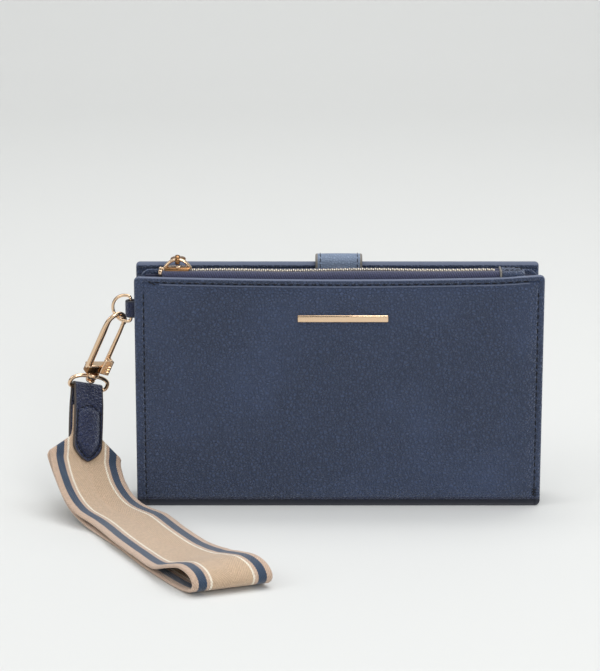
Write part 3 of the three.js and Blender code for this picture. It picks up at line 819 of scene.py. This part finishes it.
def zip_ends():
    low, high = box_mm("zip_start_stop")
    centre = (low + high) / 2
    blocks = [((0.4, -2.9, -0.3), (1.9, 1.6, 3)), ((1.2, 0.2, 0.9), (1.6, 1.6, 1.6)),
              ((0.2, 1.6, 0.6), (1.4, 1.4, 2))]
    parts = [block_at(centre + Vector(at), size, 0.5) for at, size in blocks]
    stop = make("zip_stop_metal", *merge(parts), "gold", FRONT)
    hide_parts("zip_start_stop")

    low, high = box_mm("zip_end_cover")
    wall = box_mm("zip_tape_front")[0].y
    size = Vector((high.x - low.x, high.y - wall + 1.6, 6.4))
    centre = Vector(((low.x + high.x) / 2 - 0.3, (wall + high.y) / 2 - 1.1, high.z - 2.15))
    verts, faces = subdivided(rounded_block(size, 1.5, 5))
    shaped = []
    for v in verts:
        end = smoothstep(size.x / 2 - 3.5, size.x / 2, v.x)
        sag = 0.7 * end * (v.z > 0) + 0.4 * (v.y < 0) * (v.z > 0)
        shaped.append(centre + Vector((v.x, v.y * (1 - 0.3 * end), v.z - sag)))
    cover = make("zip_end_leather", shaped, faces, "leather", FRONT)
    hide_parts("zip_end_cover")
    verts, faces = rounded_block((0.9, size.y + 0.3, size.z + 0.2), 0.4)
    edge = [v + centre - X * (size.x / 2) for v in verts]
    make("zip_end_cut_edge", edge, faces, "pale_edge", FRONT)
    left, right = centre.x - size.x / 2, centre.x + size.x / 2
    near = [(left + 1.6, -2.6), (left + 5, -2.6), (right - 2.6, -2)]
    outline = near + [(right - 1.8, 0)] + [(x, -y) for x, y in reversed(near)]
    line = [Vector((x, centre.y + y, centre.z + size.z / 2 + 0.02)) for x, y in outline]
    stitches("zip_end_stitches", line, 2.2, 1.5, FRONT, Z, radius=0.2)


def slider():
    low, high = box_mm("slider_body")
    middle = (low.x + high.x) / 2
    crown_z = JOINTS["pull_swing"]["pos_m"][2] / MM
    verts, faces = rounded_block((high.x - low.x, 6.4, 1), 0.45)
    shaped = []
    for v in verts:
        pinch = 1 - 0.22 * smoothstep(-2, 6, v.x)
        shaped.append(Vector((v.x, v.y * pinch, v.z + 0.15 * cos(v.x * 0.3))))
    parts = [placed((shaped, faces), Matrix.Translation((middle, CHAIN_Y, SLIDER_DECK)))]
    for side in (-1, 1):
        where = (middle - 0.2, CHAIN_Y + side * 2.75, SLIDER_DECK - 0.9)
        parts.append(block_at(where, (high.x - low.x - 1.2, 0.8, 2), 0.3))
    make("slider_plate", *merge(parts), "dark_gold", "slider")
    lug = block_at((middle + 0.4, CHAIN_Y - 2, SLIDER_DECK + 0.7), (2.2, 1.6, 1.2), 0.35)
    rise = [(-6, SLIDER_DECK - 0.2), (-5, SLIDER_DECK + 1.2), (-2.8, crown_z - 0.5)]
    arch = rise + [(0, crown_z + 0.1)] + [(-x, z) for x, z in reversed(rise)]
    arch = curve([(middle + x, CHAIN_Y, z) for x, z in arch], 33)
    crown = tube_mesh(arch, 0.75, sides=12, start=Z, flatten=1.8)
    body = make("slider_metal", *merge([lug, crown]), "gold", "slider")
    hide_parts("slider_body")


def pull():
    pivot = joint_at("pull_swing")
    turns = [a * pi / 6 for a in range(12)]
    ring = [(pivot.x, pivot.y + 1.95 * cos(a), pivot.z + 1.95 * sin(a)) for a in turns]
    ring = curve(ring, 28, closed=True)
    parts = [tube_mesh(ring, 0.42, sides=10, closed=True, start=Y, flatten=2.6)]
    tip = box_mm("pull_tab")[1].y
    end = tip - 4.3
    outline = [(1.3, pivot.y + 1.9), (1.7, pivot.y + 3.2), (2.9, pivot.y + 4.8)]
    outline += [(3.6 * cos(a), end + 3.6 * sin(a)) for a in (-0.25, 0, 0.3, 0.6, 0.9, 1.2, 1.5)]
    half = curve([(x, y, 0) for x, y in outline] + [(0, end + 3.6, 0)], 26)
    loop = half + [Vector((-p.x, p.y, 0)) for p in reversed(half[:-1])]
    centre = Vector((0, (pivot.y + 1.9 + tip) / 2, 0))
    levels = [(-1.3, 0.8), (-1.1, 0.94), (-0.7, 1), (-0.2, 0.97), (0.15, 0.86), (0.35, 0.66), (0.42, 0.4)]
    verts = []
    for z, scale in levels:
        for p in loop:
            q = centre + (p - centre) * scale
            verts.append((pivot.x + q.x, q.y, pivot.z + z - 0.5))
    parts.append((verts, ring_faces(len(levels), len(loop))))
    piece = make("pull_metal", *merge(parts), "dark_gold", "pull")
    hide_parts("pull_tab")


# ---- card section ----
REAR_SEAM = 3  # stitch lines, in from the edges
REAR_GROWTH = Vector((-1.8, 0, 0)), Vector((0.6, 0, 1))  # how far the leather stands past the board


def rear_push(x, z, d):
    s = min(HALF - 1.5 - REAR_SEAM - abs(x), TOP - REAR_SEAM - z)
    groove = -0.35 * exp(-(s / 0.55) ** 2) if z > 2 else 0
    return groove + 0.5 * smoothstep(0, 8, s) * smoothstep(0, 10, z)


def card_section():
    low, high = box_mm("rear_panel")
    low, high = low + REAR_GROWTH[0], high + REAR_GROWTH[1]

    def turned_edge(x, z, d):
        down = high.z - z
        return 0.75 * smoothstep(0.4, 2, down) * (1 - smoothstep(2.3, 2.8, down))

    panel = board("rear_leather", low, high, 2, CARD, rim=1, step=3.2, front=turned_edge, back=rear_push)
    # painted highlight: upward faces along the top rim take the pale coat for the light they catch
    panel.data.materials.append(look["lit_edge"])
    for polygon in panel.data.polygons:
        if polygon.normal.z > 0.4 and polygon.center.z > (high.z - 1.4) * MM:
            polygon.material_index = 1
    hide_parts("rear_panel")
    y, top, sides = high.y - 0.3, high.z - REAR_SEAM, high.x - REAR_SEAM
    line = [Vector((x, y, top)) for x in range(int(-sides) + 3, int(sides) - 1, 4)]
    stitches("rear_stitches_top", line, 3.6, 2.3, CARD, Y)
    for name, x in (("left", -sides), ("right", sides)):
        line = [Vector((x, y, z)) for z in range(5, int(top) - 1, 4)]
        stitches(f"rear_stitches_{name}", line, 3.6, 2.3, CARD, Y)

    card_board = {"body": CARD, "material": "pocket", "rim": 0.3, "step": 6}
    backing = board("card_backing_leather", *box_mm("card_backing"), 1.5, **card_board)
    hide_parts("card_backing")
    for place in [f"{column}_{row}" for column in ("left", "right") for row in (1, 2, 3)]:
        low, high = box_mm(f"card_pocket_{place}")

        def crease(x, z, d, top=high.z):
            return -0.14 * exp(-((top - 2.2 - z) / 0.35) ** 2)

        pocket = board(f"pocket_leather_{place}", low, high, 1.2, front=crease, **card_board)
        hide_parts(f"card_pocket_{place}")
        xs = (low.x + 3, (low.x + high.x) / 2, high.x - 3)
        line = [Vector((x, low.y - 0.05, high.z - 3.4)) for x in xs]
        stitches(f"pocket_stitches_{place}", line, 3, 2, CARD, -Y, radius=0.17)


def snap_tab():
    """The tab's leather runs from its sewn root over the top edge and down between the sections."""
    root_low, root_high = box_mm("tab_root")
    strip_low, strip_high = box_mm("tab_strip")
    t = root_high.y - root_low.y
    rear = (root_low.y + root_high.y) / 2
    front = strip_low.y + t / 2
    radius = (rear - front) / 2
    centre = Vector((0, (rear + front) / 2, strip_high.z + 0.4 - t / 2 - radius))
    half = (root_high.x - root_low.x) / 2
    path = [(rear, root_low.z + 1 + (centre.z - root_low.z - 1) * i / 34) for i in range(34)]
    path += [(centre.y + radius * cos(a * pi / 20), centre.z + radius * sin(a * pi / 20)) for a in range(21)]
    path += [(front, centre.z + (strip_low.z + 0.6 - centre.z) * i / 9) for i in range(1, 10)]
    points = [Vector((0, y, z)) for y, z in path]
    normals = frames(points, start=Y)[1]
    runs = lengths_along(points)
    stations = []
    for p, normal, run in zip(points, normals, runs):
        near = min(run / 6, (runs[-1] - run) / 3.5, 1)
        narrowing = (0.55 if run < 10 else 0.25) * (1 - sqrt(1 - (1 - near) ** 2))
        stations.append((p, X, normal, half * (1 if near >= 1 else 1 - narrowing)))
    # the tab's leather carries the pale painted-light copy of the navy leather
    piece = strip("tab_leather_painted_light", stations, t, "tab", None, 16, lambda s, o: 0.12 * cos(o / half * 1.5),
                  edge_material="pale_edge", edge_width=1.1)
    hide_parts("tab_root", "tab_strip")
    hinge_z = JOINTS["tab_swing"]["pos_m"][2]
    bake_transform(piece)

    def outward(p):
        if p.z > centre.z:
            return p - Vector((p.x, centre.y, centre.z))
        return Y if p.y > centre.y else -Y

    for name, x in (("left", 2.3 - half), ("right", half - 2.3)):
        line = [x * X + p + n * (t / 2 + 0.1) for p, n in zip(points[30:], normals[30:])]
        stitches(f"tab_stitches_{name}", line, 2.6, 1.7, "snap_tab", outward, radius=0.2)
        line = [Vector((x, rear + t / 2 + 0.1, z)) for z in (root_low.z + 5, 95, hinge_z / MM - 2)]
        stitches(f"tab_root_stitches_{name}", line, 2.6, 1.7, CARD, Y, radius=0.2)


def snap():
    """Socket in the tab and stud on the wall, each turned about the line that joins them."""
    low, high = box_mm("snap_socket")
    r, depth = (high.x - low.x) / 2 * 0.72, high.y - low.y
    profile = [(0, 0), (r * 0.9, 0), (r, depth * 0.3), (r, depth * 0.7), (r * 0.85, depth),
               (r * 0.55, depth), (r * 0.42, depth * 0.7), (r * 0.42, depth * 0.4), (0, depth * 0.4)]
    turn = frame_matrix(Vector(((low.x + high.x) / 2, high.y, (low.z + high.z) / 2)), X, Z, -Y)
    socket = make("snap_socket_metal", *lathe(profile, turn), "gold", "snap_tab")
    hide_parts("snap_socket")

    low, high = box_mm("snap_stud")
    r, depth = (high.x - low.x) / 2, high.y - low.y
    profile = [(0, 0), (r * 1.15, 0), (r * 1.2, 0.3), (r * 0.9, 0.55), (r * 0.5, 0.7),
               (r * 0.44, depth * 0.6), (r * 0.56, depth * 0.8), (r * 0.4, depth), (0, depth)]
    turn = frame_matrix(Vector(((low.x + high.x) / 2, low.y, (low.z + high.z) / 2)), -X, Z, Y)
    stud = make("snap_stud_metal", *lathe(profile, turn), "gold", FRONT)
    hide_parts("snap_stud")


# ---- side loop, ring and hook ----
HANG = joint_at("hook_tilt")  # the ring's wire, where the hook hangs
HOOK_AXIS = joint_axis("eye_turn")
HOOK_TOP = HANG - HOOK_AXIS * 2.1
HOOK_BACK = joint_axis("gate_press")
HOOK_SIDE = HOOK_BACK.cross(HOOK_AXIS)
EYE_BAR = joint_at("strap_swing")
ACROSS = joint_axis("strap_swing")
HOOK_TURN = frame_matrix(HOOK_TOP, HOOK_SIDE, HOOK_BACK, HOOK_AXIS)
HOOK_HALF = 4.6  # half the distance between its legs' middle lines
BLOCK = 32  # the collar's middle, down from the hook's top


def side_loop():
    low, high = box_mm("ring_loop")
    bar = joint_at("ring_swing")
    leaf = [(high.x + 2, 2.1), (high.x - 0.5, 2.05), (bar.x, 2)]
    path = [(x, bar.y - y) for x, y in leaf]
    path += [(bar.x - 2 * sin(a), bar.y - 2 * cos(a)) for a in (0.5, 1.05, 1.57, 2.1, 2.65)]
    path += [(x, bar.y + y) for x, y in reversed(leaf)]
    rows = upright_band(path, 36, low.z - 0.3, high.z + 0.3, -Y)
    loop = strip("ring_loop_leather", rows, 1.25, "strap_leather_and_shade", FRONT, columns=10, edge_material="edge")
    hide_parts("ring_loop")


def d_ring():
    """The ring is shaped in its own plane, through its bar and the hook's hanging point."""
    bar = joint_at("ring_swing")
    out = HANG - bar
    out.z = 0
    out.normalize()
    half, flat, reach = 6.2, 2.6, 6.6
    turns = [pi / 2 - i * pi / 10 for i in range(11)]
    foot = [(0, 0.15), (0, 2.5), (0, 4.6), (0.8, 5.9)]
    path = foot + [(flat + reach * cos(a), half * sin(a)) for a in turns]
    path += [(o, -u) for o, u in reversed(foot)]
    points = curve([bar + out * o + Z * u for o, u in path], 90)
    ring = make("d_ring_wire", *tube_mesh(points, 0.74, sides=18), "gold", "ring")
    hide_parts("d_ring")


def hook_point(x, z):
    return HOOK_TOP + HOOK_SIDE * x + HOOK_AXIS * z


def hook():
    h = HOOK_HALF
    outline = [(-h, BLOCK - 1), (-h, 24), (-h, 14), (-h, 6), (-h * 0.86, 2.9), (-h * 0.45, 0.7), (0, 0),
               (h * 0.45, 0.7), (h * 0.86, 2.9), (h, 5.4)]
    bow = curve([hook_point(x, z) for x, z in outline], 70)
    parts = [tube_mesh(bow, 1.12, sides=18, start=HOOK_BACK, flatten=1.38,
                       taper=lambda s: 1.08 - 0.28 * smoothstep(0.45, 0.75, s))]
    collar = block_at((0, 0, BLOCK), (2 * h + 1.9, 3.8, 4.4), 0.55)
    make("hook_collar", *placed(collar, HOOK_TURN), "dark_gold", "hook")
    parts.append(placed(block_at((0, 0, BLOCK - 2), (2 * h + 2.3, 4.2, 0.9), 0.4), HOOK_TURN))
    shank = [(0, BLOCK + 2), (1.1, BLOCK + 2), (1.1, 38.6), (1.9, 38.7), (2.35, 39.1), (2.2, 39.7),
             (1.2, 40.1), (0, 40.15)]
    parts.append(lathe(shank, HOOK_TURN, 24))
    body = make("hook_metal", *merge(parts), "gold", "hook")
    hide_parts("hook_body")


def gate():
    h, end = HOOK_HALF, BLOCK - 2.6
    bar = curve([hook_point(x, z) for x, z in ((h - 0.15, 5.7), (h, 10), (h, 18), (h, end))], 30)
    parts = [tube_mesh(bar, 1, sides=14, start=HOOK_BACK, flatten=1.2, taper=lambda s: 0.8 + 0.3 * s)]
    ear = block_at((h - 0.1, 0, end - 0.6), (1.4, 2.4, 2.6), 0.4)
    turned = Matrix.Translation((h - 1.3, 3.3, end - 0.2)) @ Matrix.Rotation(0.4, 4, "Z")
    lever = placed(rounded_block((4.6, 1.1, 8.4), 0.5), turned)
    stem = block_at((h, 1.8, end - 2.6), (1.8, 3.6, 3.2), 0.5)
    ridge = rounded_block((2.8, 0.7, 0.55), 0.22, 2)
    tip = Matrix.Rotation(0.45, 4, "Y")
    ridges = [placed(ridge, turned @ Matrix.Translation((0.6, 0.6, k * 1.5 - 0.6)) @ tip) for k in range(3)]
    parts += [placed(p, HOOK_TURN) for p in (ear, lever, stem, *ridges)]
    piece = make("gate_metal", *merge(parts), "gold", "gate")
    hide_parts("hook_gate")


def swivel_eye():
    back = HOOK_AXIS.cross(ACROSS).normalized()
    side = back.cross(HOOK_AXIS)
    turn = frame_matrix(EYE_BAR, side, back, HOOK_AXIS)
    right = [(1.5, -7), (2.6, -7), (5.6, -6.6), (8.8, -4.8), (9.5, -2), (8.7, -0.3), (7, 0), (3.5, 0)]
    line = right + [(-x, z) for x, z in reversed(right)]
    points = curve([turn @ Vector((x, 0, z)) for x, z in line], 90)
    parts = [tube_mesh(points, 0.95, sides=18)]
    boss = [(1.4, -9.4), (2.7, -9.4), (3, -9), (3, -8), (2.6, -6.6), (2.2, -5.95), (1.4, -5.95),
            (1.4, -9.4)]
    parts.append(lathe(boss, turn, 28))
    eye = make("swivel_eye_metal", *merge(parts), "gold", "eye")
    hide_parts("swivel_eye")


# ---- strap ----
DOWN = Vector((0, -0.538, -0.843)).normalized()
FACE = DOWN.cross(ACROSS).normalized()
CONNECTOR_LENGTH = 36.8
CONNECTOR_WIDTH = 15
WEBBING_HALF = 18.2
# The webbing's middle line where it lies free, as in the CAD source: x, y, z, then the angle of its
# width from X and how far the width tips down, in degrees.
STRAP_ROUTE = [
    (-116, -20.5, 15, 25, 14), (-111.5, -28, 9.3, 25, 9), (-105.5, -35.5, 5.8, 25, 4),
    (-96, -45.5, 4.2, 25, 0), (-86, -66, 4, 26, 0), (-75.5, -86, 4, 26, 0),
    (-66.5, -104, 4.6, 25, 0), (-60, -113.5, 8.3, 24, 0), (-54, -121.5, 10.8, 22, 0),
    (-49.3, -127.8, 9.6, 20, 0), (-47.1, -131, 6.2, 20, 0), (-47.9, -130.2, 3.1, 20, 0),
    (-50.6, -126.2, 1.6, 20, 0), (-55, -119.3, 1, 22, 0), (-62.5, -107, 0.9, 24, 0),
    (-72.5, -89, 0.9, 26, 0), (-83, -68, 0.9, 26, 0), (-92.5, -51.5, 1, 25, 0),
    (-101, -38, 1.6, 25, 1), (-107.5, -29.5, 3.9, 25, 5), (-112.8, -21.5, 8, 25, 10),
]


def connector():
    inner, t, fold = 2.3, 1.3, 1.75
    middle = inner + t / 2
    leaf = [(middle - 0.35, CONNECTOR_LENGTH), (middle - 0.35, 30), (middle, 18), (middle - 0.15, 9),
            (fold + 0.35, 3.4)]
    path = leaf + [(fold * cos(a), -fold * sin(a)) for a in (0, 0.5, 1.05, 1.57, 2.09, 2.64, 3.14)]
    path += [(-f, d) for f, d in reversed(leaf)]
    points = curve([EYE_BAR + FACE * f + DOWN * d for f, d in path], 110)
    runs = lengths_along(points)
    stations = []
    for p, n, run in zip(points, frames(points, start=FACE)[1], runs):
        near = min(run, runs[-1] - run)
        half = CONNECTOR_WIDTH / 2
        if near < 8:
            half *= 0.12 + 0.88 * sin(pi / 2 * near / 8) ** 0.8
        stations.append((p, ACROSS, n, half))

    def puff(s, offset):
        reach = 5.3 * min(1, max(s - 2.4, 0.01) / 7) ** 0.6
        along = smoothstep(2.4, 5, s) * smoothstep(25.6, 23.6, s + 0.07 * offset ** 2)
        across = max(0, 1 - (offset / reach) ** 4) ** 0.5
        groove = -0.6 * exp(-((abs(offset) - reach - 0.4) / 0.5) ** 2)
        groove = groove * smoothstep(2, 4, s) * smoothstep(28, 25, s)
        return 2.7 * along * across * (1 - 0.35 * (offset / 5.3) ** 2) + groove

    piece = strip("connector_leather_fold", stations, t, "strap_leather_and_shade", "strap", columns=30,
                  lift=puff, edge_material="brown_edge", edge_width=0.8)
    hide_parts("connector_leather")

    face = EYE_BAR + FACE * (middle - 0.2 + t / 2)
    outline = [(-5.7, 12), (-5.9, 20), (-5.7, 29), (0, 35.2), (5.7, 29), (5.9, 20), (5.7, 12)]
    top = [(-4.6, 11.5), (0, 9.6), (4.6, 11.5)]
    for name, row, count in (("connector_stitches", outline, 60), ("connector_stitches_top", top, 20)):
        line = curve([face + DOWN * d + ACROSS * a for a, d in row], count)
        stitches(name, line, 2.2, 1.8, "strap", FACE, radius=0.3)


def share_along(p, a, b):
    """How far along the span from a to b a point lies, from 0 to 1."""
    return min(max((p - a).dot(b - a) / (b - a).length_squared, 0), 1)


def nearest_span(line, p, start):
    """The span of a line that a point lies on, looking on from the last one found."""
    best, found = 1e9, start
    for k in range(start, min(start + 3, len(line) - 1)):
        a, b = line[k], line[k + 1]
        d = (p - a.lerp(b, share_along(p, a, b))).length
        if d < best - 1e-6:
            best, found = d, k
    return found


def route_station(x, y, z, plan, tip):
    """A row of the free run; its upper layer lifts and turns a little near the end fold."""
    dip = exp(-((y + 103) / 11) ** 2) if z > 3 and x > -90 else 0
    a, b = radians(plan), -radians(tip - 5 * dip)
    across = Vector((cos(a) * cos(b), sin(a) * cos(b), sin(b)))
    return Vector((x, y, z + 1.5 * dip)), across, WEBBING_HALF


def webbing():
    count, layer = 300, 1.15
    gather = [(9, 6.4), (20, 6.4), (24, 7), (28.5, 12.5), (33, WEBBING_HALF), (37, WEBBING_HALF)]

    def inside(side, held):
        return [(EYE_BAR + DOWN * along + FACE * side * layer, ACROSS, half) for along, half in held]

    rows = inside(1, gather) + [route_station(*station) for station in STRAP_ROUTE] + inside(-1, gather[::-1])
    middles = [row[0] for row in rows]
    points = curve(middles, count)
    stations, k = [], 0
    for i, p in enumerate(points):
        after, before = points[min(i + 1, count - 1)], points[max(i - 1, 0)]
        k = nearest_span(middles, p, k)
        t = share_along(p, middles[k], middles[k + 1])
        across = rows[k][1].lerp(rows[k + 1][1], t).normalized()
        half = rows[k][2] + (rows[k + 1][2] - rows[k][2]) * t
        stations.append((p, across, -across.cross(after - before).normalized(), half))
    piece = strip("striped_webbing_loop", stations, 1.6, "webbing", "strap", columns=36)
    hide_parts("strap_webbing")


front_section()
gussets()
spine()
zip_tapes()
zip_teeth()
zip_ends()
slider()
pull()
card_section()
snap_tab()
snap()
side_loop()
d_ring()
hook()
gate()
swivel_eye()
connector()
webbing()

for node in ("front_lining", "inner_lining", "pocket_floor", "bill_lining"):
    for slot in frame["nodes"][node].material_slots:
        slot.material = look["lining"]
